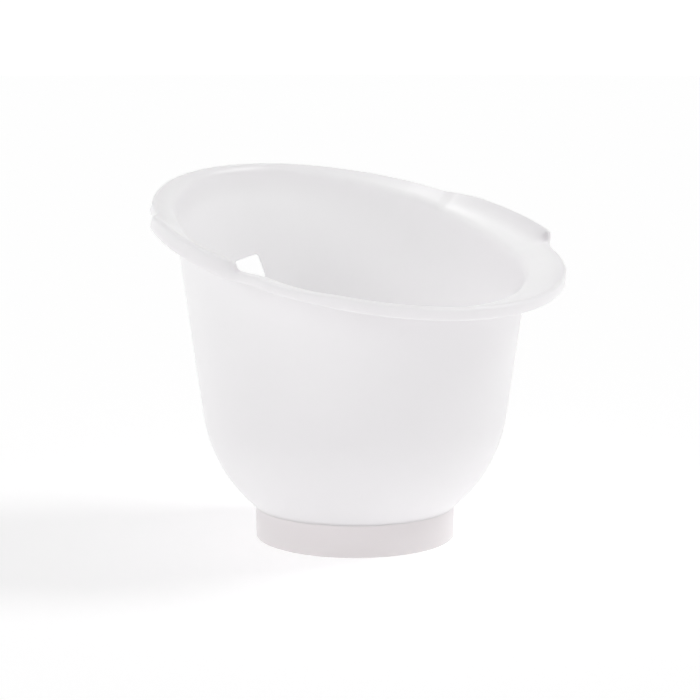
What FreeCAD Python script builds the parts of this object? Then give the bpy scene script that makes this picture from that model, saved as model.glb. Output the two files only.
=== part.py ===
import FreeCAD, Part
import math
import os

# A free-standing baby bath bucket, in millimetres. +Z is up. The rim leans: its low side, the
# front, faces -Y, and the high back faces +Y. Every piece is drawn with the foot's axis at X = Y = 0
# and then set back, so that the origin lies on the floor below the rim's centre.

# Wall and bowl of the tub, measured on the outside
SHELL = 3.0  # wall thickness
WALL_DRAFT = 7.74  # lean of the straight wall from the vertical, degrees
BOWL_TOP = 140.0  # height at which the straight wall turns into the round bowl
BOWL_TOP_RADIUS = 169.3
BOWL_ARC = 161.5  # radius of the round bowl in section
FLOOR_UNDERSIDE = 16.0  # height of the flat floor's underside
WALL_EXTENT = 430.0  # the wall is drawn up to here and then trimmed under the rim

# Rim, a leaning circle with a flange that falls inwards and a turned-down lip
RIM_TILT = 15.1  # degrees
RIM_CENTRE_HEIGHT = 346.5
RIM_FORWARD = 10.0  # how far the rim's centre lies in front of the foot's axis
RIM_RADIUS = 231.0
RIM_ROUND = 4.0  # rounding at the rim's outer top edge
FLANGE_FALL = 24.0  # fall of the flange towards the bath, degrees from the rim's plane
FLANGE_REACH = 60.0  # how far inwards the flange is drawn before the bath is cut out
LIP_DROP = 14.0
LIP_FLARE = 1.0  # how much wider the lip is at its lower edge

# Hand grips, one raised and widened length of the rim on each side; angles run from the front
GRIP_FRONT = 71.0
GRIP_BACK = 115.0
GRIP_STEP = 2.0  # angle over which the front end of a grip rises
GRIP_RAMP = 4.0  # angle over which the back end rises
GRIP_RAISE_FRONT = 7.5
GRIP_RAISE_BACK = 3.5
GRIP_FADE = 22.0  # distance inwards from the crest over which the raise dies out
GRIP_WIDEN = 5.0
GRIP_STATION = 2.0  # spacing of the sections that a grip is drawn through, degrees

# Finger hole in the back wall, as seen from the front: corners in X and Z
HOLE_CORNERS = [(-31.0, 294.5), (6.5, 301.2), (15.8, 272.2), (-21.5, 267.0)]
HOLE_ROUND = 5.0
HOLE_START = 130.0  # distance behind the foot's axis at which the hole's cut begins
HOLE_LENGTH = 120.0

# Foot ring that the bowl stands in, and the non-slip pads pressed into its underside
FOOT_RADIUS = 111.5
FOOT_WALL = 3.0
FOOT_BOTTOM = 1.0
FOOT_FLANGE = 4.0  # thickness of the inward flange at the foot's bottom
FOOT_FLANGE_INNER = 90.0
FOOT_TO_BOWL = 0.1  # gap between the foot's top edge and the bowl
SPIGOT_GAP = 0.3  # gap between the tub's spigot and the foot's wall
SPIGOT_WALL = 3.0
PAD_COUNT = 6
PAD_RADIUS = 7.0
PAD_CIRCLE = 100.0
PAD_HEIGHT = 3.2
PAD_GAP = 0.3
INTO_BOWL = 60.0  # the foot's wall and the spigot are drawn up to here and then trimmed by the bowl

Z_AXIS = FreeCAD.Vector(0, 0, 1)
ORIGIN = FreeCAD.Vector(0, 0, 0)


def side_point(radius, height):
    """A point of a section drawn in the XZ half-plane."""
    return FreeCAD.Vector(radius, 0, height)


def straight(points):
    """Straight edges from each point to the next."""
    return [Part.LineSegment(a, b).toShape() for a, b in zip(points, points[1:])]


def revolved(edges, angle=360.0):
    return Part.Face(Part.Wire(edges)).revolve(ORIGIN, Z_AXIS, angle)


def ring(inner, outer, bottom, top):
    corners = [(inner, bottom), (outer, bottom), (outer, top), (inner, top), (inner, bottom)]
    return revolved(straight([side_point(r, z) for r, z in corners]))


def vessel(offset):
    """The solid inside the tub's outer surface, moved inwards by offset."""
    draft = math.radians(WALL_DRAFT)
    arc = BOWL_ARC - offset
    centre_r = BOWL_TOP_RADIUS - BOWL_ARC * math.cos(draft)
    centre_z = BOWL_TOP + BOWL_ARC * math.sin(draft)
    floor = FLOOR_UNDERSIDE + offset
    floor_angle = math.asin((centre_z - floor) / arc)

    def on_arc(angle):
        return side_point(centre_r + arc * math.cos(angle), centre_z - arc * math.sin(angle))

    tangent = on_arc(draft)
    floor_edge = on_arc(floor_angle)
    top_radius = tangent.x + (WALL_EXTENT - tangent.z) * math.tan(draft)
    bowl = Part.Arc(floor_edge, on_arc((draft + floor_angle) / 2), tangent).toShape()
    below = straight([side_point(0, WALL_EXTENT), side_point(0, floor), floor_edge])
    above = straight([tangent, side_point(top_radius, WALL_EXTENT), side_point(0, WALL_EXTENT)])
    return revolved(below + [bowl] + above)


def grip_share(angle):
    """How much of a grip's shape holds at an angle from the front: 0 on the plain rim, up to 1."""
    rise = (angle - GRIP_FRONT) / GRIP_STEP
    fall = (GRIP_BACK - angle) / GRIP_RAMP
    share = max(0.0, min(1.0, rise, fall))
    return share * share * (3 - 2 * share)


def grip_raise(angle):
    along = (angle - GRIP_FRONT) / (GRIP_BACK - GRIP_FRONT)
    return grip_share(angle) * (GRIP_RAISE_FRONT + (GRIP_RAISE_BACK - GRIP_RAISE_FRONT) * along)


def skin(angle, inset):
    """Key points of the rim's upper surface at an angle, from the flange's inner end to the lip."""
    share = grip_share(angle)
    top = grip_raise(angle) - inset
    outer = RIM_RADIUS + GRIP_WIDEN * share - inset
    crest = RIM_RADIUS + GRIP_WIDEN * share - RIM_ROUND
    fall = math.radians(FLANGE_FALL)
    shift = inset * math.tan(fall / 2)
    flange_end = side_point(crest - shift - FLANGE_REACH, -inset - FLANGE_REACH * math.tan(fall))
    ridge_foot = side_point(crest - shift - GRIP_FADE, -inset - GRIP_FADE * math.tan(fall))
    crest_point = side_point(crest - shift, top)
    turn = RIM_ROUND - inset
    rounding_start = side_point(crest, top)
    rounding_middle = side_point(
        crest + turn * math.sin(math.pi / 4), top - turn + turn * math.cos(math.pi / 4)
    )
    rounding_end = side_point(outer, top - turn)
    lip_end = side_point(outer + LIP_FLARE, -LIP_DROP)
    return flange_end, ridge_foot, crest_point, rounding_start, rounding_middle, rounding_end, lip_end


def band_section(angle):
    """The rim's own wall: flange, rounded edge and lip, one shell thickness deep."""
    a = skin(angle, 0.0)
    b = skin(angle, SHELL)
    upper = straight([a[0], a[1], a[3]]) + [Part.Arc(a[3], a[4], a[5]).toShape()] + straight([a[5], a[6]])
    lower = straight([b[6], b[5]]) + [Part.Arc(b[5], b[4], b[3]).toShape()]
    lower += straight([b[3], b[2], b[1], b[0]])
    return Part.Wire(upper + straight([a[6], b[6]]) + lower + straight([b[0], a[0]]))


def trim_section(angle):
    """Everything above the flange, which the tub's wall must not reach."""
    flange_end, ridge_foot, crest_point = skin(angle, 0.0)[:3]
    core = 100.0  # inside this radius there is no wall to trim
    beyond = RIM_RADIUS + 60.0
    sky = 260.0
    start = side_point(core, flange_end.z)
    level = side_point(beyond, crest_point.z)
    outline = [start, flange_end, ridge_foot, crest_point, level]
    outline += [side_point(beyond, sky), side_point(core, sky), start]
    return Part.Wire(straight(outline))


def turned(wire, angle):
    """A section carried round the rim's axis; angle 0 is the front and +90 is the -X side."""
    copy = wire.copy()
    copy.rotate(ORIGIN, Z_AXIS, -90.0 - angle)
    return copy


def plain_stretch(section, start, end):
    face = Part.Face(turned(section(0.0), end))
    return face.revolve(ORIGIN, Z_AXIS, end - start)


def grip_stretch(section):
    """One grip, on the -X side, drawn through sections close together."""
    count = round((GRIP_BACK - GRIP_FRONT) / GRIP_STATION)
    angles = [GRIP_FRONT + i * (GRIP_BACK - GRIP_FRONT) / count for i in range(count + 1)]
    return Part.makeLoft([turned(section(a), a) for a in angles], True, True)


def rim_solid(section):
    """A section carried all the way round the leaning rim, with both grips."""
    front = plain_stretch(section, -GRIP_FRONT, GRIP_FRONT)
    back = plain_stretch(section, GRIP_BACK, 360.0 - GRIP_BACK)
    left = grip_stretch(section)
    right = left.mirror(ORIGIN, FreeCAD.Vector(1, 0, 0))
    whole = front.fuse([back, left, right])
    whole.rotate(ORIGIN, FreeCAD.Vector(1, 0, 0), RIM_TILT)
    whole.translate(FreeCAD.Vector(0, -RIM_FORWARD, RIM_CENTRE_HEIGHT))
    return whole


def finger_hole():
    """A prism through the back wall with rounded corners."""
    corners = [FreeCAD.Vector(x, 0, z) for x, z in HOLE_CORNERS]
    prism = Part.Face(Part.makePolygon(corners + corners[:1])).extrude(FreeCAD.Vector(0, HOLE_LENGTH, 0))
    lengthwise = [e for e in prism.Edges if e.BoundBox.YLength > HOLE_LENGTH / 2]
    prism = prism.makeFillet(HOLE_ROUND, lengthwise)
    prism.translate(FreeCAD.Vector(0, HOLE_START, 0))
    return prism


def tub_body():
    """The moulded tub: bowl, wall, rim with grips and lip, and the spigot that enters the foot."""
    outside = vessel(0.0)
    spigot_outer = FOOT_RADIUS - FOOT_WALL - SPIGOT_GAP
    spigot = ring(spigot_outer - SPIGOT_WALL, spigot_outer, FOOT_BOTTOM + FOOT_FLANGE, INTO_BOWL)
    wall = outside.cut(rim_solid(trim_section))
    body = wall.fuse([rim_solid(band_section), spigot])
    return body.cut([vessel(SHELL), finger_hole()])


def pad_place(index):
    angle = 2 * math.pi * (index + 0.5) / PAD_COUNT
    return FreeCAD.Vector(PAD_CIRCLE * math.cos(angle), PAD_CIRCLE * math.sin(angle), 0)


def foot_ring():
    """The ring that the bowl is pushed into, with an inward flange and recesses for the pads."""
    wall = ring(FOOT_RADIUS - FOOT_WALL, FOOT_RADIUS, FOOT_BOTTOM, INTO_BOWL)
    flange = ring(FOOT_FLANGE_INNER, FOOT_RADIUS - FOOT_WALL / 2, FOOT_BOTTOM, FOOT_BOTTOM + FOOT_FLANGE)
    recesses = [Part.makeCylinder(PAD_RADIUS + PAD_GAP, PAD_HEIGHT, pad_place(i)) for i in range(PAD_COUNT)]
    return wall.fuse(flange).cut([vessel(-FOOT_TO_BOWL)] + recesses)


def non_slip_pad(index):
    return Part.makeCylinder(PAD_RADIUS, PAD_HEIGHT, pad_place(index))


def save(name, shape):
    solid = shape.removeSplitter().Solids[0]
    solid.translate(FreeCAD.Vector(0, RIM_FORWARD, 0))
    solid.exportStep(os.path.join("parts", name + ".step"))
    print(name, len(shape.Solids), solid.isValid(), round(solid.Volume / 1000, 1), "cm3", solid.BoundBox)


def main():
    os.makedirs("parts", exist_ok=True)
    save("tub_body", tub_body())
    save("foot_ring", foot_ring())
    for index in range(PAD_COUNT):
        save("non_slip_pad_" + str(index + 1), non_slip_pad(index))


main()
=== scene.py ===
import math

import bmesh
import bpy
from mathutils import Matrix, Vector


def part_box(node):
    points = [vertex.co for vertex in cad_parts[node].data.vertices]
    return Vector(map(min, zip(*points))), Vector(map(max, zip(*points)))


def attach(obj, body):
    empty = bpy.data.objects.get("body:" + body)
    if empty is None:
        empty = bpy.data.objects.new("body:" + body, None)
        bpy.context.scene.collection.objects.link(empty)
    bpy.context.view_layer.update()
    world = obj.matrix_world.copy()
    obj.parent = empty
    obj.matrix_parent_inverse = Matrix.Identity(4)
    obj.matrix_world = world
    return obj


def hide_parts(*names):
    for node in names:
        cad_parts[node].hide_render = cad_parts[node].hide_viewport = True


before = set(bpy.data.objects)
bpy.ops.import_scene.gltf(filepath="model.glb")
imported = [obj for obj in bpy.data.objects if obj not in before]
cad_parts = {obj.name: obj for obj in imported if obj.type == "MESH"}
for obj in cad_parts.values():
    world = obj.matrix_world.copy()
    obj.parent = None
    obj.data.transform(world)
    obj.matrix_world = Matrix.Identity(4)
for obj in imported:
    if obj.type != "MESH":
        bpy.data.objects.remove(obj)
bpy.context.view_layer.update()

# All sizes are in metres, in the frame of the CAD model: the low front of the rim faces -Y, and
# angles round the rim are in degrees from the front, positive towards -X.

# Wall and bowl, measured on the outside, about the foot's axis
FOOT_AXIS_Y = sum(corner[1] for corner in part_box("foot_ring")) / 2
SHELL = 0.003
WALL_DRAFT = math.radians(7.74)
BOWL_TOP = 0.140
BOWL_TOP_RADIUS = 0.1693
BOWL_ARC = 0.1615
FLOOR_UNDERSIDE = 0.016
FLOOR_BLEND = 0.012  # length over which the bowl turns into the flat floor
BOWL_CENTRE_RADIUS = BOWL_TOP_RADIUS - BOWL_ARC * math.cos(WALL_DRAFT)
BOWL_CENTRE_HEIGHT = BOWL_TOP + BOWL_ARC * math.sin(WALL_DRAFT)

# Rim
RIM_TILT = math.radians(15.1)
RIM_HEIGHT = 0.3465
RIM_RADIUS = 0.231
RIM_ROUND = 0.004
FLANGE_FALL = math.radians(24.0)
FLANGE_LIMIT = 0.090
FILLET = 0.009  # widest blend between the flange and the wall
LIP_DROP = 0.014
LIP_FLARE = 0.001

# Hand grips
GRIP_FRONT = 71.0
GRIP_BACK = 115.0
GRIP_STEP = 2.2  # angle over which the front end of a grip rises
GRIP_STEP_SPREAD = 300.0  # how much the step widens inwards, degrees per metre
GRIP_WIDEN_STEP = 6.0  # angle over which the front end widens
GRIP_RAMP = 4.0  # angle over which the width dies out at the back end
GRIP_RAISE_FRONT = 0.0075
GRIP_RAISE_BACK = 0.0025
GRIP_RAISE_RAMP = 12.0  # the raise dies out over a longer length than the width
GRIP_WIDEN = 0.005
GRIP_NECK = 0.002  # how far the rim draws in just past each end of a grip
GRIP_NECK_FRONT = 66.0
GRIP_NECK_BACK = 119.0
GRIP_NECK_REACH = 7.0
GRIP_FADE = 0.022  # distance in from the crest over which the raise dies out
GRIP_DIP = 0.003  # how far the rim dips just in front of each grip
GRIP_DIP_START = 42.0
GRIP_DIP_LENGTH = 16.0

# Finger hole in the back wall, as seen from the front: corners in X and Z
HOLE_CORNERS = [(-0.031, 0.2945), (0.0065, 0.3012), (0.0158, 0.2722), (-0.0215, 0.2670)]
HOLE_ROUND = 0.005
HOLE_EDGE = 0.0008  # rounding of the hole's two edges

# Foot ring and pads
FOOT_RADIUS = 0.1115
FOOT_WALL = 0.003
FOOT_BOTTOM = 0.001
FOOT_FLANGE = 0.004
FOOT_FLANGE_INNER = 0.090
FOOT_FLANGE_ROUND = 0.0006
FOOT_TO_BOWL = 0.00002  # gap between the foot's upper edge and the bowl
FOOT_TOP_BEVEL = 0.0003
FOOT_ROUND = 0.0015
FOOT_FLARE = 0.004  # radius with which the foot's wall sweeps out under the bowl
FOOT_EDGE = 0.0001  # thickness of the foot's upper edge
SPIGOT_GAP = 0.0003
SPIGOT_WALL = 0.003
PAD_COUNT = 6
PAD_RADIUS = 0.007
PAD_CIRCLE = 0.100
PAD_HEIGHT = 0.0032
PAD_GAP = 0.0003
PAD_ROUND = 0.0008
PAD_TOP_ROUND = 0.0004
PAD_RINGS = (0.8, 0.55, 0.3, 0.1)  # radii of the rings on a pad's two faces, as shares of the flat
PAD_DISH = (0.0002, 0.0004, 0.0004, 0.0004)  # how far the lower face is dished at each of them
RECESS_CHAMFER = 0.0004

# Mesh density
RIM_COLUMN = 1.5  # spacing of the columns, degrees
FINE_COLUMN = 0.25  # spacing at the ends of a grip
FINE_MARGIN = 1.0  # how far past the end's own angles that spacing goes on
HOLE_COLUMN = 0.5  # spacing across the finger hole
HOLE_HALF_WIDTH = 14.0  # degrees of rim to each side of the back that the hole's patch covers
HOLE_BAND = (0.40, 0.72)  # part of the straight wall's height that the hole's patch covers
LOWER_ROWS = 8  # rows of the straight wall below, in and above that band
HOLE_ROWS = 32
UPPER_ROWS = 10
ROUND_STEPS = 8
FLOOR_ROWS = 5
FLOOR_BLEND_ROWS = 6
INNER_BOWL_ROWS = 24
FLANGE_ROWS = 10
LIP_ROWS = 6
LIP_INNER_STEPS = 5
UNDER_FLANGE_ROWS = 7
OUTER_BOWL_ROWS = 22
SPIGOT_ROWS = 4
UNDER_BOWL_ROWS = 5
COLUMN_SLACK = 1e-6  # slack in comparing angles, degrees
EVEN_SHADING = 80  # how far a large face outweighs a small one in the shading
REACH_HALVINGS = 40  # steps of the search for the corner between flange and wall
HOLE_CORNER_SHARE = 0.22  # part of each side of the hole's outline that is corner, at each end
HOLE_COLLAR_RINGS = 7
HOLE_EDGE_STEPS = 4
FOOT_SIDES = 240
FOOT_ROWS = 8
FOOT_TOP_ROWS = 5
FOOT_INSIDE_ROWS = 6
FLANGE_ROUND_STEPS = 4
PAD_SIDES = 48
PAD_ROUND_STEPS = 6
PAD_TOP_STEPS = 3
FLOOR_SIDES = 128

# Camera
VIEW_TURN = math.radians(39.0)
VIEW_DOWN = math.radians(9.266)
VIEW_DISTANCE = 2.42
VIEW_SIDESTEP = -0.0056
VIEW_HEIGHT = 0.6059
VIEW_LIMIT = 100.0
LENS_MM = 113.14
SENSOR_MM = 36.0

# Studio light. Azimuths are in degrees from the view direction towards its right.
SKY_LEVEL = 0.63  # level of the surroundings at the horizon, before its band and the slopes below
SKY_RIGHT = 0.16  # how much brighter they are towards the right of the view
SKY_AHEAD = 0.07  # how much brighter ahead of the view
SKY_UP = -0.30  # negative: darker towards the zenith
HORIZON_BAND = 0.42  # extra level of the band along the horizon, which shows as the backdrop
BAND_START = 0.03  # heights of a direction between which the band fades out
BAND_END = 0.20
FLOOR_GLOW = 0.52  # the floor's own light, which keeps it white up to the horizon
FLOOR_TONE = 0.8
FLOOR_ROUGHNESS = 0.9
FLOOR_RADIUS = 14.0
KEY_LIGHT = {"strength": 0.68, "spread_degrees": 20, "azimuth": 80, "elevation": 45}
NEAR_FILL = {"strength": 0.66, "spread_degrees": 20, "azimuth": -130, "elevation": 25}
FAR_FILL = {"strength": 0.76, "spread_degrees": 20, "azimuth": -50, "elevation": 50}
TOP_LIGHT = {"strength": 0.2, "spread_degrees": 8, "azimuth": 0, "elevation": 68}

# Materials; depth is the length, in metres, over which light spreads inside the plastic
TUB_PLASTIC = {
    "light": (0.852, 0.812, 0.850), "dark": (0.845, 0.806, 0.843), "roughness": 0.32, "depth": 0.02
}
# The foot's plastic is a darker copy of the tub's: its lower tone is painted shade for the shade that falls
# on the foot near the floor
FOOT_PLASTIC_SHADED = {
    "light": (0.742, 0.722, 0.726), "dark": (0.732, 0.712, 0.716), "roughness": 0.34, "depth": 0.001
}
PLASTIC_IOR = 1.49
RUBBER_IOR = 1.5
FORWARD_SCATTER = 0.8  # how much the light inside the plastic keeps its direction
NOISE_LOW = 0.3  # values of a noise texture that stand for its two ends
NOISE_HIGH = 0.7


def blend(value):
    """Smooth step from 0 to 1."""
    value = max(0.0, min(1.0, value))
    return value * value * (3 - 2 * value)


def spread(start, end, count, first=0):
    """Evenly spaced values from start to end; first=1 leaves the start out."""
    return [start + (end - start) * i / count for i in range(first, count + 1)]


def curve_between(start, corner, end, count):
    """Points of the curve that leaves start towards corner and reaches end, without start."""
    points = []
    for i in range(1, count + 1):
        t = i / count
        points.append(start * (1 - t) ** 2 + corner * (2 * t * (1 - t)) + end * t ** 2)
    return points


def add_object(name, body):
    """Turns a finished bmesh into an object of the scene."""
    mesh = bpy.data.meshes.new(name)
    body.to_mesh(mesh)
    body.free()
    result = bpy.data.objects.new(name, mesh)
    bpy.context.collection.objects.link(result)
    return result


# Camera, light and floor

def add_camera():
    camera = bpy.data.objects.new("camera", bpy.data.cameras.new("camera"))
    camera.data.lens = LENS_MM
    camera.data.sensor_width = SENSOR_MM
    camera.data.clip_end = VIEW_LIMIT
    ahead = Vector((math.sin(VIEW_TURN), math.cos(VIEW_TURN), 0))
    right = Vector((math.cos(VIEW_TURN), -math.sin(VIEW_TURN), 0))
    camera.location = Vector((0, FOOT_AXIS_Y, VIEW_HEIGHT)) - ahead * VIEW_DISTANCE + right * VIEW_SIDESTEP
    camera.rotation_euler = (math.pi / 2 - VIEW_DOWN, 0, -VIEW_TURN)
    bpy.context.collection.objects.link(camera)
    bpy.context.scene.camera = camera


def add_sun(name, strength, spread_degrees, azimuth, elevation):
    """A soft distant light."""
    light = bpy.data.objects.new(name, bpy.data.lights.new(name, "SUN"))
    light.data.energy = strength
    light.data.angle = math.radians(spread_degrees)
    light.rotation_euler = (math.radians(90 - elevation), 0, math.pi - VIEW_TURN - math.radians(azimuth))
    bpy.context.collection.objects.link(light)
    return light


def shine_only_on(light, pieces):
    """Keeps a light off the floor, where it would leave a second shadow."""
    lit = bpy.data.collections.new(light.name + "_lit")
    for piece in pieces:
        lit.objects.link(piece)
    light.light_linking.receiver_collection = lit


def add_surroundings():
    scene = bpy.context.scene
    scene.view_settings.view_transform = "Standard"
    scene.world = bpy.data.worlds.new("studio")
    scene.world.use_nodes = True
    tree = scene.world.node_tree
    background = tree.nodes["Background"]
    background.inputs["Color"].default_value = (1, 1, 1, 1)
    direction = tree.nodes.new("ShaderNodeTexCoord").outputs["Generated"]
    slope = tree.nodes.new("ShaderNodeVectorMath")
    slope.operation = "DOT_PRODUCT"
    slope.inputs[1].default_value = (
        SKY_RIGHT * math.cos(VIEW_TURN) + SKY_AHEAD * math.sin(VIEW_TURN),
        SKY_AHEAD * math.cos(VIEW_TURN) - SKY_RIGHT * math.sin(VIEW_TURN),
        SKY_UP,
    )
    height = tree.nodes.new("ShaderNodeSeparateXYZ")
    band = tree.nodes.new("ShaderNodeMapRange")
    band.inputs["From Min"].default_value = BAND_START
    band.inputs["From Max"].default_value = BAND_END
    band.inputs["To Min"].default_value = SKY_LEVEL + HORIZON_BAND
    band.inputs["To Max"].default_value = SKY_LEVEL
    level = tree.nodes.new("ShaderNodeMath")
    level.operation = "ADD"
    tree.links.new(direction, slope.inputs[0])
    tree.links.new(direction, height.inputs[0])
    tree.links.new(height.outputs["Z"], band.inputs["Value"])
    tree.links.new(band.outputs["Result"], level.inputs[0])
    tree.links.new(slope.outputs["Value"], level.inputs[1])
    tree.links.new(level.outputs["Value"], background.inputs["Strength"])


def add_floor():
    body = bmesh.new()
    bmesh.ops.create_circle(body, cap_ends=True, radius=FLOOR_RADIUS, segments=FLOOR_SIDES)
    floor = add_object("floor", body)
    material = bpy.data.materials.new("studio_floor")
    material.use_nodes = True
    shader = material.node_tree.nodes["Principled BSDF"]
    shader.inputs["Base Color"].default_value = (FLOOR_TONE, FLOOR_TONE, FLOOR_TONE, 1)
    shader.inputs["Emission Color"].default_value = (1, 1, 1, 1)
    shader.inputs["Emission Strength"].default_value = FLOOR_GLOW
    shader.inputs["Roughness"].default_value = FLOOR_ROUGHNESS
    shader.inputs["Specular IOR Level"].default_value = 0.0
    floor.data.materials.append(material)


def add_fills(pieces):
    """Lights that soften the shadows on the pieces and leave the floor as it is."""
    for name, fill in (("near_fill", NEAR_FILL), ("far_fill", FAR_FILL)):
        light = add_sun(name, **fill)
        light.visible_glossy = False
        shine_only_on(light, pieces)
    shine_only_on(add_sun("top", **TOP_LIGHT), pieces)


# Materials

class Nodes:
    """Adds nodes to one material and links them."""

    def __init__(self, name):
        self.material = bpy.data.materials.new(name)
        self.material.use_nodes = True
        self.tree = self.material.node_tree
        self.shader = self.tree.nodes["Principled BSDF"]
        self.place = self.add("ShaderNodeTexCoord").outputs["Object"]

    def add(self, kind, **settings):
        node = self.tree.nodes.new(kind)
        for key, value in settings.items():
            setattr(node, key, value)
        return node

    def link(self, source, target):
        self.tree.links.new(source, target)

    def noise(self, scale, detail, stretch=(1, 1, 1)):
        mapping = self.add("ShaderNodeMapping")
        mapping.inputs["Scale"].default_value = stretch
        self.link(self.place, mapping.inputs["Vector"])
        noise = self.add("ShaderNodeTexNoise")
        noise.inputs["Scale"].default_value = scale
        noise.inputs["Detail"].default_value = detail
        self.link(mapping.outputs["Vector"], noise.inputs["Vector"])
        return noise.outputs["Fac"]

    def between(self, value, low, high, target):
        """Maps a noise value onto low to high and links it to a socket."""
        remap = self.add("ShaderNodeMapRange")
        remap.inputs["From Min"].default_value = NOISE_LOW
        remap.inputs["From Max"].default_value = NOISE_HIGH
        remap.inputs["To Min"].default_value = low
        remap.inputs["To Max"].default_value = high
        self.link(value, remap.inputs["Value"])
        self.link(remap.outputs["Result"], target)

    def colour(self, value, first, second):
        """Base colour that drifts between two colours with a noise value."""
        mix = self.add("ShaderNodeMix", data_type="RGBA")
        mix.inputs["A"].default_value = first + (1,)
        mix.inputs["B"].default_value = second + (1,)
        self.between(value, 0, 1, mix.inputs["Factor"])
        self.link(mix.outputs["Result"], self.shader.inputs["Base Color"])

    def bumps(self, layers):
        """Stacks bump layers: (height value, depth in metres, strength)."""
        normal = None
        for height, depth, strength in layers:
            bump = self.add("ShaderNodeBump")
            bump.inputs["Distance"].default_value = depth
            bump.inputs["Strength"].default_value = strength
            self.link(height, bump.inputs["Height"])
            if normal is not None:
                self.link(normal, bump.inputs["Normal"])
            normal = bump.outputs["Normal"]
        self.link(normal, self.shader.inputs["Normal"])


def moulded_plastic(name, light, dark, roughness, depth):
    """Milky translucent polypropylene: cloudy tone, flow lines up the wall, faint orange peel."""
    nodes = Nodes(name)
    shader = nodes.shader
    cloud = nodes.noise(scale=9.0, detail=3.0)
    flow = nodes.noise(scale=38.0, detail=2.0, stretch=(1, 1, 0.08))
    peel = nodes.noise(scale=420.0, detail=1.0)
    wear = nodes.noise(scale=60.0, detail=4.0)
    nodes.colour(cloud, light, dark)
    nodes.between(wear, roughness - 0.03, roughness + 0.05, shader.inputs["Roughness"])
    nodes.bumps([(flow, 0.0002, 0.03), (peel, 0.00002, 0.04)])
    shader.inputs["IOR"].default_value = PLASTIC_IOR
    shader.inputs["Subsurface Weight"].default_value = 1.0
    shader.inputs["Subsurface Radius"].default_value = (1.0, 1.0, 1.0)
    shader.inputs["Subsurface Scale"].default_value = depth
    shader.inputs["Subsurface Anisotropy"].default_value = FORWARD_SCATTER
    return nodes.material


def pad_rubber():
    """Fine-grained soft rubber, a little dusty."""
    nodes = Nodes("pad_rubber")
    shader = nodes.shader
    dust = nodes.noise(scale=220.0, detail=4.0)
    smear = nodes.noise(scale=500.0, detail=3.0)
    grain = nodes.noise(scale=2600.0, detail=2.0)
    nodes.colour(dust, (0.50, 0.50, 0.515), (0.60, 0.60, 0.61))
    nodes.between(smear, 0.55, 0.8, shader.inputs["Roughness"])
    nodes.bumps([(grain, 0.0001, 0.4)])
    shader.inputs["IOR"].default_value = RUBBER_IOR
    return nodes.material


# Tub

def inner_radius(height):
    """Radius of the straight wall's inside about the foot's axis."""
    return outer_radius(height) - SHELL / math.cos(WALL_DRAFT)


def outer_radius(height):
    """Radius of the straight wall's outside about the foot's axis."""
    return BOWL_TOP_RADIUS + (height - BOWL_TOP) * math.tan(WALL_DRAFT)


def rim_point(radius, height, angle):
    """A point given about the leaning rim's own axis."""
    turn = math.radians(angle)
    across = -radius * math.cos(turn)
    return Vector((
        -radius * math.sin(turn),
        across * math.cos(RIM_TILT) - height * math.sin(RIM_TILT),
        across * math.sin(RIM_TILT) + height * math.cos(RIM_TILT) + RIM_HEIGHT,
    ))


def foot_point(radius, height, turn):
    """A point given about the foot's axis; turn is in radians from the front towards -X."""
    return Vector((-radius * math.sin(turn), FOOT_AXIS_Y - radius * math.cos(turn), height))


def foot_turn(point):
    return math.atan2(-point.x, FOOT_AXIS_Y - point.y)


def foot_distance(point):
    return math.hypot(point.x, point.y - FOOT_AXIS_Y)


def grip_share(angle):
    """How much of a grip's extra width there is at an angle."""
    angle = abs(angle)
    start = GRIP_FRONT - GRIP_WIDEN_STEP / 2
    return blend(min((angle - start) / GRIP_WIDEN_STEP, (GRIP_BACK - angle) / GRIP_RAMP))


def grip_raise(angle, inward=0.0):
    """Height of the rim's edge above its plane, less sudden further inwards."""
    angle = abs(angle)
    along = (angle - GRIP_FRONT) / (GRIP_BACK - GRIP_FRONT)
    step = blend((angle - GRIP_FRONT) / (GRIP_STEP + GRIP_STEP_SPREAD * inward))
    share = min(step, blend((GRIP_BACK - angle) / GRIP_RAISE_RAMP))
    dip = GRIP_DIP * blend((angle - GRIP_DIP_START) / GRIP_DIP_LENGTH) * (1 - step)
    return share * (GRIP_RAISE_FRONT + (GRIP_RAISE_BACK - GRIP_RAISE_FRONT) * along) - dip


def crest_radius(angle):
    """Radius at which the rim's outer edge starts to turn down."""
    neck = 0.0
    for place in (GRIP_NECK_FRONT, GRIP_NECK_BACK):
        neck += blend(1 - abs(abs(angle) - place) / GRIP_NECK_REACH)
    return RIM_RADIUS - RIM_ROUND + GRIP_WIDEN * grip_share(angle) - GRIP_NECK * neck


def flange_point(angle, inward, depth):
    """A point of the flange, inward from the crest and depth below the upper surface."""
    rise = grip_raise(angle, inward) * (1 - blend(inward / GRIP_FADE))
    start = RIM_ROUND * math.sin(FLANGE_FALL)
    fall = RIM_ROUND * (1 - math.cos(FLANGE_FALL)) + (inward - start) * math.tan(FLANGE_FALL)
    radius = crest_radius(angle) - inward
    return rim_point(
        radius + depth * math.sin(FLANGE_FALL), rise - fall - depth * math.cos(FLANGE_FALL), angle
    )


def flange_reach(angle, depth, wall_radius):
    """How far inwards the flange goes before it meets the wall."""
    near, far = 0.0, FLANGE_LIMIT
    for _ in range(REACH_HALVINGS):
        middle = (near + far) / 2
        point = flange_point(angle, middle, depth)
        if foot_distance(point) > wall_radius(point.z):
            near = middle
        else:
            far = middle
    return near


def wall_shares():
    """Heights of the straight wall's rows, as shares from its foot to its top."""
    low, high = HOLE_BAND
    return spread(0, low, LOWER_ROWS) + spread(low, high, HOLE_ROWS, 1) + spread(high, 1, UPPER_ROWS, 1)


def bowl_point(arc, angle, turn):
    """A point of the round bowl; angle is in radians down from the height of its centre."""
    return foot_point(
        BOWL_CENTRE_RADIUS + arc * math.cos(angle), BOWL_CENTRE_HEIGHT - arc * math.sin(angle), turn
    )


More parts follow.
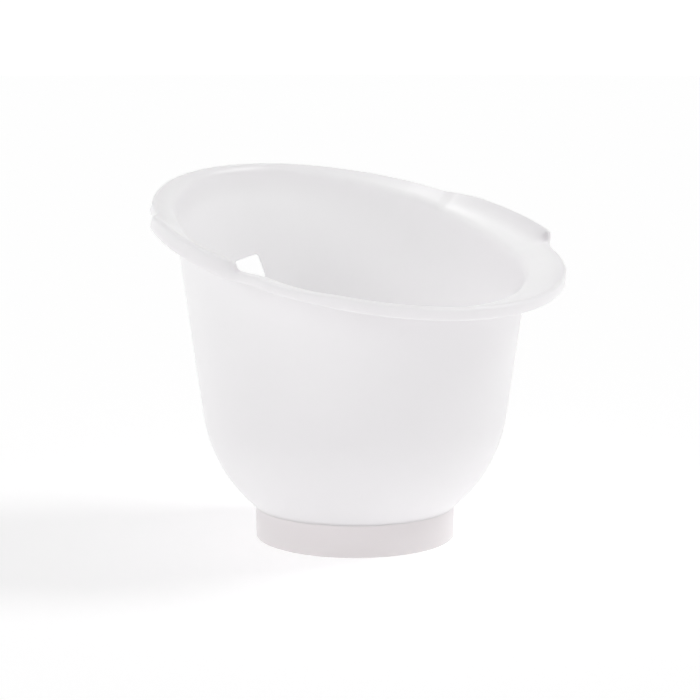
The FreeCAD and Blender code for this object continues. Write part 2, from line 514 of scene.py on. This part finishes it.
def wall_and_blend(angle, depth, wall_radius, arc):
    """Straight wall from the bowl's top up, then the blend into the flange; with the wall's turn."""
    reach = flange_reach(angle, depth, wall_radius)
    corner = flange_point(angle, reach, depth)
    turn = foot_turn(corner)
    size = FILLET * reach / (reach + 0.5 * FILLET)
    top = corner.z - size * math.cos(WALL_DRAFT)
    foot = BOWL_CENTRE_HEIGHT - arc * math.sin(WALL_DRAFT)
    wall = []
    for share in wall_shares():
        height = foot + share * (top - foot)
        wall.append(foot_point(wall_radius(height), height, turn))
    start = reach - size * math.cos(FLANGE_FALL)
    wall += curve_between(wall[-1], corner, flange_point(angle, start, depth), ROUND_STEPS)
    return wall, turn, start


def inner_column(angle):
    """Inside of the tub from the floor's middle to the crest of the rim."""
    arc = BOWL_ARC - SHELL
    wall, turn, start = wall_and_blend(angle, 0.0, inner_radius, arc)
    floor = FLOOR_UNDERSIDE + SHELL
    edge = math.asin((BOWL_CENTRE_HEIGHT - floor) / arc)
    edge_radius = BOWL_CENTRE_RADIUS + arc * math.cos(edge)
    points = [foot_point(r, floor, turn) for r in spread(0, edge_radius - FLOOR_BLEND, FLOOR_ROWS, 1)]
    bowl_start = edge - FLOOR_BLEND / arc
    points += curve_between(
        points[-1],
        foot_point(edge_radius, floor, turn),
        bowl_point(arc, bowl_start, turn),
        FLOOR_BLEND_ROWS,
    )
    points += [bowl_point(arc, a, turn) for a in spread(bowl_start, WALL_DRAFT, INNER_BOWL_ROWS, 1)][:-1]
    points += wall
    lip_start = RIM_ROUND * math.sin(FLANGE_FALL)
    points += [flange_point(angle, t, 0.0) for t in spread(start, lip_start, FLANGE_ROWS, 1)]
    return points


def lip_column(angle):
    """Round the rim's outer edge, down the lip, round its lower edge and up behind it."""
    centre_radius = crest_radius(angle)
    centre_height = grip_raise(angle) - RIM_ROUND
    lip_bottom = -LIP_DROP
    flare = math.atan2(LIP_FLARE, centre_height - lip_bottom)
    upper = math.pi / 2 + FLANGE_FALL

    def rounding(radius, turn):
        return centre_radius + radius * math.cos(turn), centre_height + radius * math.sin(turn)

    section = [rounding(RIM_ROUND, turn) for turn in spread(upper, flare, ROUND_STEPS, 1)]
    lip_length = (centre_height - lip_bottom - SHELL / 2) / math.cos(flare)
    down = (math.sin(flare), -math.cos(flare))
    start = section[-1]
    section += [(start[0] + down[0] * s, start[1] + down[1] * s) for s in spread(0, lip_length, LIP_ROWS, 1)]
    middle = (section[-1][0] - math.cos(flare) * SHELL / 2, section[-1][1] - math.sin(flare) * SHELL / 2)
    for turn in spread(flare, flare - math.pi, ROUND_STEPS, 1):
        section.append((middle[0] + SHELL / 2 * math.cos(turn), middle[1] + SHELL / 2 * math.sin(turn)))
    start = section[-1]
    section += [(start[0] - down[0] * s, start[1] - down[1] * s) for s in spread(0, lip_length, LIP_ROWS, 1)]
    section += [rounding(RIM_ROUND - SHELL, turn) for turn in spread(flare, upper, LIP_INNER_STEPS, 1)]
    return [rim_point(radius, height, angle) for radius, height in section]


def outer_column(angle):
    """Underside of the flange, outer wall, bowl, spigot and the floor's underside."""
    wall, turn, start = wall_and_blend(angle, SHELL, outer_radius, BOWL_ARC)
    lip_start = RIM_ROUND * math.sin(FLANGE_FALL)
    under_flange = spread(lip_start, start, UNDER_FLANGE_ROWS + 1, 1)[:-1]
    points = [flange_point(angle, t, SHELL) for t in under_flange]
    points += reversed(wall)
    outside = FOOT_RADIUS - FOOT_WALL - SPIGOT_GAP
    inside = outside - SPIGOT_WALL
    outside_angle = math.acos((outside - BOWL_CENTRE_RADIUS) / BOWL_ARC)
    inside_angle = math.acos((inside - BOWL_CENTRE_RADIUS) / BOWL_ARC)
    edge = math.asin((BOWL_CENTRE_HEIGHT - FLOOR_UNDERSIDE) / BOWL_ARC)
    points += [bowl_point(BOWL_ARC, a, turn) for a in spread(WALL_DRAFT, outside_angle, OUTER_BOWL_ROWS, 1)]
    tip = FOOT_BOTTOM + FOOT_FLANGE + SPIGOT_GAP
    top_outside = BOWL_CENTRE_HEIGHT - BOWL_ARC * math.sin(outside_angle)
    top_inside = BOWL_CENTRE_HEIGHT - BOWL_ARC * math.sin(inside_angle)
    round_tip = SPIGOT_WALL / 2
    points += [foot_point(outside, z, turn) for z in spread(top_outside, tip + round_tip, SPIGOT_ROWS, 1)]
    for a in spread(0, math.pi, ROUND_STEPS, 1):
        radius = (outside + inside) / 2 + round_tip * math.cos(a)
        points.append(foot_point(radius, tip + round_tip * (1 - math.sin(a)), turn))
    points += [foot_point(inside, z, turn) for z in spread(tip + round_tip, top_inside, SPIGOT_ROWS, 1)]
    bowl_end = edge - FLOOR_BLEND / BOWL_ARC
    points += [bowl_point(BOWL_ARC, a, turn) for a in spread(inside_angle, bowl_end, UNDER_BOWL_ROWS, 1)]
    edge_radius = BOWL_CENTRE_RADIUS + BOWL_ARC * math.cos(edge)
    points += curve_between(
        points[-1],
        foot_point(edge_radius, FLOOR_UNDERSIDE, turn),
        foot_point(edge_radius - FLOOR_BLEND, FLOOR_UNDERSIDE, turn),
        FLOOR_BLEND_ROWS,
    )
    under_floor = spread(edge_radius - FLOOR_BLEND, 0, FLOOR_ROWS, 1)[:-1]
    points += [foot_point(r, FLOOR_UNDERSIDE, turn) for r in under_floor]
    return points


def column_angles():
    """Angles of the columns, close together at the grips' ends and across the finger hole."""
    angles = []
    angle = -180.0
    while angle < 180.0 - COLUMN_SLACK:
        angles.append(angle)
        size = abs(angle)
        step = RIM_COLUMN
        if size > 180.0 - HOLE_HALF_WIDTH - COLUMN_SLACK:
            step = HOLE_COLUMN
        if GRIP_FRONT - FINE_MARGIN <= size <= GRIP_FRONT + GRIP_STEP + FINE_MARGIN:
            step = FINE_COLUMN
        if GRIP_BACK - GRIP_RAMP - FINE_MARGIN <= size <= GRIP_BACK + FINE_MARGIN:
            step = FINE_COLUMN
        angle += step
    return angles


def rounded_hole_corner(index, share):
    """Point on the arc of a corner of the hole, from the side before (0) to the side after (1)."""
    previous, corner, following = (Vector(HOLE_CORNERS[(index + i) % 4]) for i in (-1, 0, 1))
    a = (previous - corner).normalized()
    b = (following - corner).normalized()
    half = a.angle(b) / 2
    centre = corner + (a + b).normalized() * (HOLE_ROUND / math.sin(half))
    first = corner + a * (HOLE_ROUND / math.tan(half)) - centre
    last = corner + b * (HOLE_ROUND / math.tan(half)) - centre
    sweep = math.pi - 2 * half
    return centre + (
        first * math.sin((1 - share) * sweep) + last * math.sin(share * sweep)
    ) / math.sin(sweep)


def hole_side(side, fraction):
    """A point of one side of the finger hole, from the middle of one rounded corner to the next."""
    if fraction < HOLE_CORNER_SHARE:
        return rounded_hole_corner(side, 0.5 + 0.5 * fraction / HOLE_CORNER_SHARE)
    if fraction > 1 - HOLE_CORNER_SHARE:
        past = fraction - 1 + HOLE_CORNER_SHARE
        return rounded_hole_corner(side + 1, 0.5 * past / HOLE_CORNER_SHARE)
    straight_share = (fraction - HOLE_CORNER_SHARE) / (1 - 2 * HOLE_CORNER_SHARE)
    first = rounded_hole_corner(side, 1.0)
    last = rounded_hole_corner(side + 1, 0.0)
    return first.lerp(last, straight_share)


def border(rows, columns):
    """Grid places round a patch, and for each the side of the patch and the share along it.

    The order is: along the top row, down the last column, back along the bottom row, and up."""
    top, bottom = rows
    left, right = columns
    places = []
    places += [(top, c, 0, (c - left) / (right - left)) for c in range(left, right)]
    places += [(r, right, 1, (top - r) / (top - bottom)) for r in range(top, bottom, -1)]
    places += [(bottom, c, 2, (right - c) / (right - left)) for c in range(right, left, -1)]
    places += [(r, left, 3, (r - bottom) / (top - bottom)) for r in range(bottom, top)]
    return places


def wall_place(point):
    """Where a point of the wall appears from the front: X and Z."""
    return Vector((point.x, point.z))


def on_back_wall(place, wall_radius, inwards=0.0):
    """The point of the back wall that appears at a place from the front, moved inwards."""
    radius = wall_radius(place.y) - inwards
    return Vector((place.x, FOOT_AXIS_Y + math.sqrt(radius * radius - place.x * place.x), place.y))


def hole_outline(places, grow):
    """The hole's outline widened by grow, one point for each place of the patch's border."""
    outline = [hole_side(side, share) for _, _, side, share in places]
    widened = []
    for i, point in enumerate(outline):
        along = (outline[(i + 1) % len(outline)] - outline[i - 1]).normalized()
        widened.append(point + Vector((-along.y, along.x)) * grow)
    return widened


def cut_patch(body, grid, places, wall_radius):
    """Rings of faces from a patch's border in to the hole's outline; returns the last ring."""
    border_ring = [grid[row][column] for row, column, _, _ in places]
    outline = hole_outline(places, HOLE_EDGE)
    ring = border_ring
    for step in range(1, HOLE_COLLAR_RINGS + 1):
        share = step / HOLE_COLLAR_RINGS
        share = share * (2 - share)
        new_ring = []
        for vertex, target in zip(border_ring, outline):
            place = wall_place(vertex.co).lerp(target, share)
            new_ring.append(body.verts.new(on_back_wall(place, wall_radius)))
        join_rings(body, ring, new_ring)
        ring = new_ring
    return ring


def join_rings(body, first, second):
    """A band of faces between two closed rings of vertices."""
    count = len(first)
    for i in range(count):
        body.faces.new((first[i], first[(i + 1) % count], second[(i + 1) % count], second[i]))


def hole_wall(body, places, inner_ring, outer_ring):
    """The hole's own wall between the inside and the outside of the tub, with rounded edges."""
    ring = inner_ring
    turns = spread(0, math.pi / 2, HOLE_EDGE_STEPS, 1)
    sections = [(inner_radius, a, -1) for a in turns] + [(outer_radius, a, 1) for a in reversed(turns)]
    for wall_radius, a, inwards in sections:
        outline = hole_outline(places, HOLE_EDGE * (1 - math.sin(a)))
        depth = inwards * HOLE_EDGE * (1 - math.cos(a))
        new_ring = [body.verts.new(on_back_wall(place, wall_radius, depth)) for place in outline]
        join_rings(body, ring, new_ring)
        ring = new_ring
    join_rings(body, ring, outer_ring)


def add_piece(name, body, material, node):
    """Turns a finished bmesh into a piece that stands for a CAD node."""
    bmesh.ops.recalc_face_normals(body, faces=body.faces)
    piece = add_object(name, body)
    piece.data.polygons.foreach_set("use_smooth", [True] * len(piece.data.polygons))
    piece.data.materials.append(material)
    weighted = piece.modifiers.new("even_shading", "WEIGHTED_NORMAL")
    weighted.weight = EVEN_SHADING
    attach(piece, "root")
    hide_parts(node)
    return piece


def add_tub(material):
    """The bath in one skin: columns of vertices all the way round, with a hole set into the back."""
    body = bmesh.new()
    columns = []
    for angle in column_angles():
        inner = inner_column(angle)
        lip = lip_column(angle)
        outer = outer_column(angle)
        columns.append([body.verts.new(p) for p in inner + lip + outer])
    row_count = len(columns[0])
    column_count = len(columns)

    # Rows of the finger hole's patch: upwards they count up on the inside and down on the outside
    wall_rows = len(wall_shares())
    inner_wall_foot = len(inner) - FLANGE_ROWS - ROUND_STEPS - wall_rows
    inner_low = inner_wall_foot + LOWER_ROWS
    outer_wall_foot = len(inner) + len(lip) + UNDER_FLANGE_ROWS + ROUND_STEPS + wall_rows - 1
    outer_low = outer_wall_foot - LOWER_ROWS
    patch_rows = set(range(inner_low, inner_low + HOLE_ROWS))
    patch_rows |= set(range(outer_low - HOLE_ROWS, outer_low))
    # Its columns, to both sides of the first one, which is at the back
    half = round(HOLE_HALF_WIDTH / HOLE_COLUMN)
    patch_columns = set(i % column_count for i in range(-half, half))
    for c in range(column_count):
        here = columns[c]
        following = columns[(c + 1) % column_count]
        for r in range(row_count - 1):
            if c in patch_columns and r in patch_rows:
                continue
            body.faces.new((here[r], following[r], following[r + 1], here[r + 1]))
    for row, height in ((0, FLOOR_UNDERSIDE + SHELL), (row_count - 1, FLOOR_UNDERSIDE)):
        centre = body.verts.new(foot_point(0, height, 0))
        for c in range(column_count):
            body.faces.new((columns[c][row], columns[(c + 1) % column_count][row], centre))

    # Both patches as grids of vertices, from below up and from -X to +X
    order = [i % column_count for i in range(-half, half + 1)]
    order.sort(key=lambda c: columns[c][inner_low].co.x)
    inner_grid = [[columns[c][inner_low + k] for c in order] for k in range(HOLE_ROWS + 1)]
    outer_grid = [[columns[c][outer_low - k] for c in order] for k in range(HOLE_ROWS + 1)]
    places = border((HOLE_ROWS, 0), (0, 2 * half))
    inner_ring = cut_patch(body, inner_grid, places, inner_radius)
    outer_ring = cut_patch(body, outer_grid, places, outer_radius)
    hole_wall(body, places, inner_ring, outer_ring)
    # The grid's own vertices inside the patches belong to no face
    loose = [v for v in body.verts if not v.link_faces]
    bmesh.ops.delete(body, geom=loose, context="VERTS")
    return add_piece("bath_shell", body, material, "tub_body")


# Foot ring and pads

def lathe(body, profile, centre, segments):
    """Closed solid of revolution about a vertical axis; the profile is a closed loop of (r, z)."""
    rings = []
    for i in range(segments):
        turn = 2 * math.pi * i / segments
        rings.append([
            body.verts.new((centre[0] + r * math.cos(turn), centre[1] + r * math.sin(turn), z))
            for r, z in profile
        ])
    count = len(profile)
    for i in range(segments):
        here = rings[i]
        following = rings[(i + 1) % segments]
        for k in range(count):
            after = (k + 1) % count
            body.faces.new((here[k], following[k], following[after], here[after]))


def rounded_corner(centre_r, centre_z, radius, start, end, steps):
    """Points of an arc in a section, angles in degrees."""
    return [
        (centre_r + radius * math.cos(math.radians(a)), centre_z + radius * math.sin(math.radians(a)))
        for a in spread(start, end, steps)
    ]


def bowl_height(radius, gap):
    """Height of the bowl's outside at a radius, with a gap below it."""
    arc = BOWL_ARC + gap
    return BOWL_CENTRE_HEIGHT - math.sqrt(arc * arc - (radius - BOWL_CENTRE_RADIUS) ** 2)


def pad_centre(index):
    turn = 2 * math.pi * (index + 0.5) / PAD_COUNT
    return (PAD_CIRCLE * math.cos(turn), FOOT_AXIS_Y + PAD_CIRCLE * math.sin(turn))


def foot_profile():
    """Section of the foot: up the outside, out under the bowl, down the inside, round the flange."""
    inside = FOOT_RADIUS - FOOT_WALL
    flange_top = FOOT_BOTTOM + FOOT_FLANGE
    edge = FOOT_FLANGE_ROUND
    flange_end = FOOT_FLANGE_INNER + edge
    corner_r = FOOT_RADIUS - FOOT_ROUND
    corner_z = FOOT_BOTTOM + FOOT_ROUND
    flare_r = FOOT_RADIUS + FOOT_FLARE
    flare_z = bowl_height(flare_r, FOOT_TO_BOWL + FOOT_FLARE)
    towards_bowl = math.degrees(math.atan2(BOWL_CENTRE_HEIGHT - flare_z, BOWL_CENTRE_RADIUS - flare_r))
    edge_turn = math.degrees(math.sqrt(2 * FOOT_EDGE / FOOT_FLARE))

    profile = rounded_corner(corner_r, corner_z, FOOT_ROUND, -90, 0, ROUND_STEPS)
    profile += [(FOOT_RADIUS, z) for z in spread(corner_z, flare_z, FOOT_ROWS, 1)]
    profile += rounded_corner(
        flare_r, flare_z, FOOT_FLARE, 180, towards_bowl + edge_turn, ROUND_STEPS
    )[1:]
    top_start = profile[-1][0] - FOOT_EDGE
    top = spread(top_start, inside + edge, FOOT_TOP_ROWS)
    profile += [(r, bowl_height(r, FOOT_TO_BOWL)) for r in top]
    inside_top = bowl_height(inside, FOOT_TO_BOWL) - FOOT_TOP_BEVEL
    profile += [(inside, z) for z in spread(inside_top, flange_top, FOOT_INSIDE_ROWS)]
    profile += [(r, flange_top) for r in spread(inside, flange_end, FOOT_INSIDE_ROWS, 1)]
    profile += rounded_corner(flange_end, flange_top - edge, edge, 90, 180, FLANGE_ROUND_STEPS)[1:]
    profile += rounded_corner(flange_end, FOOT_BOTTOM + edge, edge, 180, 270, FLANGE_ROUND_STEPS)
    profile += [(r, FOOT_BOTTOM) for r in spread(flange_end, corner_r, FOOT_ROWS, 1)[:-1]]
    return profile


def add_foot(material):
    body = bmesh.new()
    lathe(body, foot_profile(), (0, FOOT_AXIS_Y), FOOT_SIDES)
    foot = add_piece("foot_base", body, material, "foot_ring")
    sink_pads(foot)
    return foot


def sink_pads(foot):
    """Cuts a round recess with a chamfered mouth into the foot for each pad."""
    narrow = PAD_RADIUS + PAD_GAP
    wide = narrow + RECESS_CHAMFER
    mouth = FOOT_BOTTOM + RECESS_CHAMFER
    sections = ((wide, -FOOT_BOTTOM), (wide, FOOT_BOTTOM), (narrow, mouth), (narrow, PAD_HEIGHT))
    body = bmesh.new()
    for index in range(PAD_COUNT):
        x, y = pad_centre(index)
        rings = []
        for radius, height in sections:
            rings.append([
                body.verts.new((x + radius * math.cos(t), y + radius * math.sin(t), height))
                for t in spread(0, 2 * math.pi, PAD_SIDES, 1)
            ])
        for lower, upper in zip(rings, rings[1:]):
            join_rings(body, lower, upper)
        body.faces.new(rings[0])
        body.faces.new(rings[-1])
    bmesh.ops.recalc_face_normals(body, faces=body.faces)
    cutter = add_object("recesses", body)
    cut = foot.modifiers.new("recesses", "BOOLEAN")
    cut.operation = "DIFFERENCE"
    cut.solver = "EXACT"
    cut.object = cutter
    foot.modifiers.move(len(foot.modifiers) - 1, 0)
    bpy.context.view_layer.update()
    finished = bpy.data.meshes.new_from_object(foot.evaluated_get(bpy.context.evaluated_depsgraph_get()))
    foot.modifiers.remove(cut)
    foot.data = finished
    bpy.data.objects.remove(cutter)


def add_pad(index, material):
    """A round pad with rounded edges, a dished lower face and a pinhole in its middle."""
    flat = PAD_RADIUS - PAD_ROUND
    top_corner = (PAD_RADIUS - PAD_TOP_ROUND, PAD_HEIGHT - PAD_TOP_ROUND)
    profile = rounded_corner(flat, PAD_ROUND, PAD_ROUND, -90, 0, PAD_ROUND_STEPS)
    profile += rounded_corner(*top_corner, PAD_TOP_ROUND, 0, 90, PAD_TOP_STEPS)
    radii = [flat * share for share in PAD_RINGS]
    profile += [(r, PAD_HEIGHT) for r in radii]
    profile += [(r, z) for r, z in zip(reversed(radii), reversed(PAD_DISH))]
    body = bmesh.new()
    lathe(body, profile, pad_centre(index), PAD_SIDES)
    return add_piece(
        "grip_pad_" + str(index + 1), body, material, "non_slip_pad_" + str(index + 1)
    )


add_camera()
add_surroundings()
add_sun("key", **KEY_LIGHT)
add_floor()
tub = add_tub(moulded_plastic("tub_plastic", **TUB_PLASTIC))
foot = add_foot(moulded_plastic("foot_plastic", **FOOT_PLASTIC_SHADED))
rubber = pad_rubber()
for pad_index in range(PAD_COUNT):
    add_pad(pad_index, rubber)
add_fills([tub, foot])
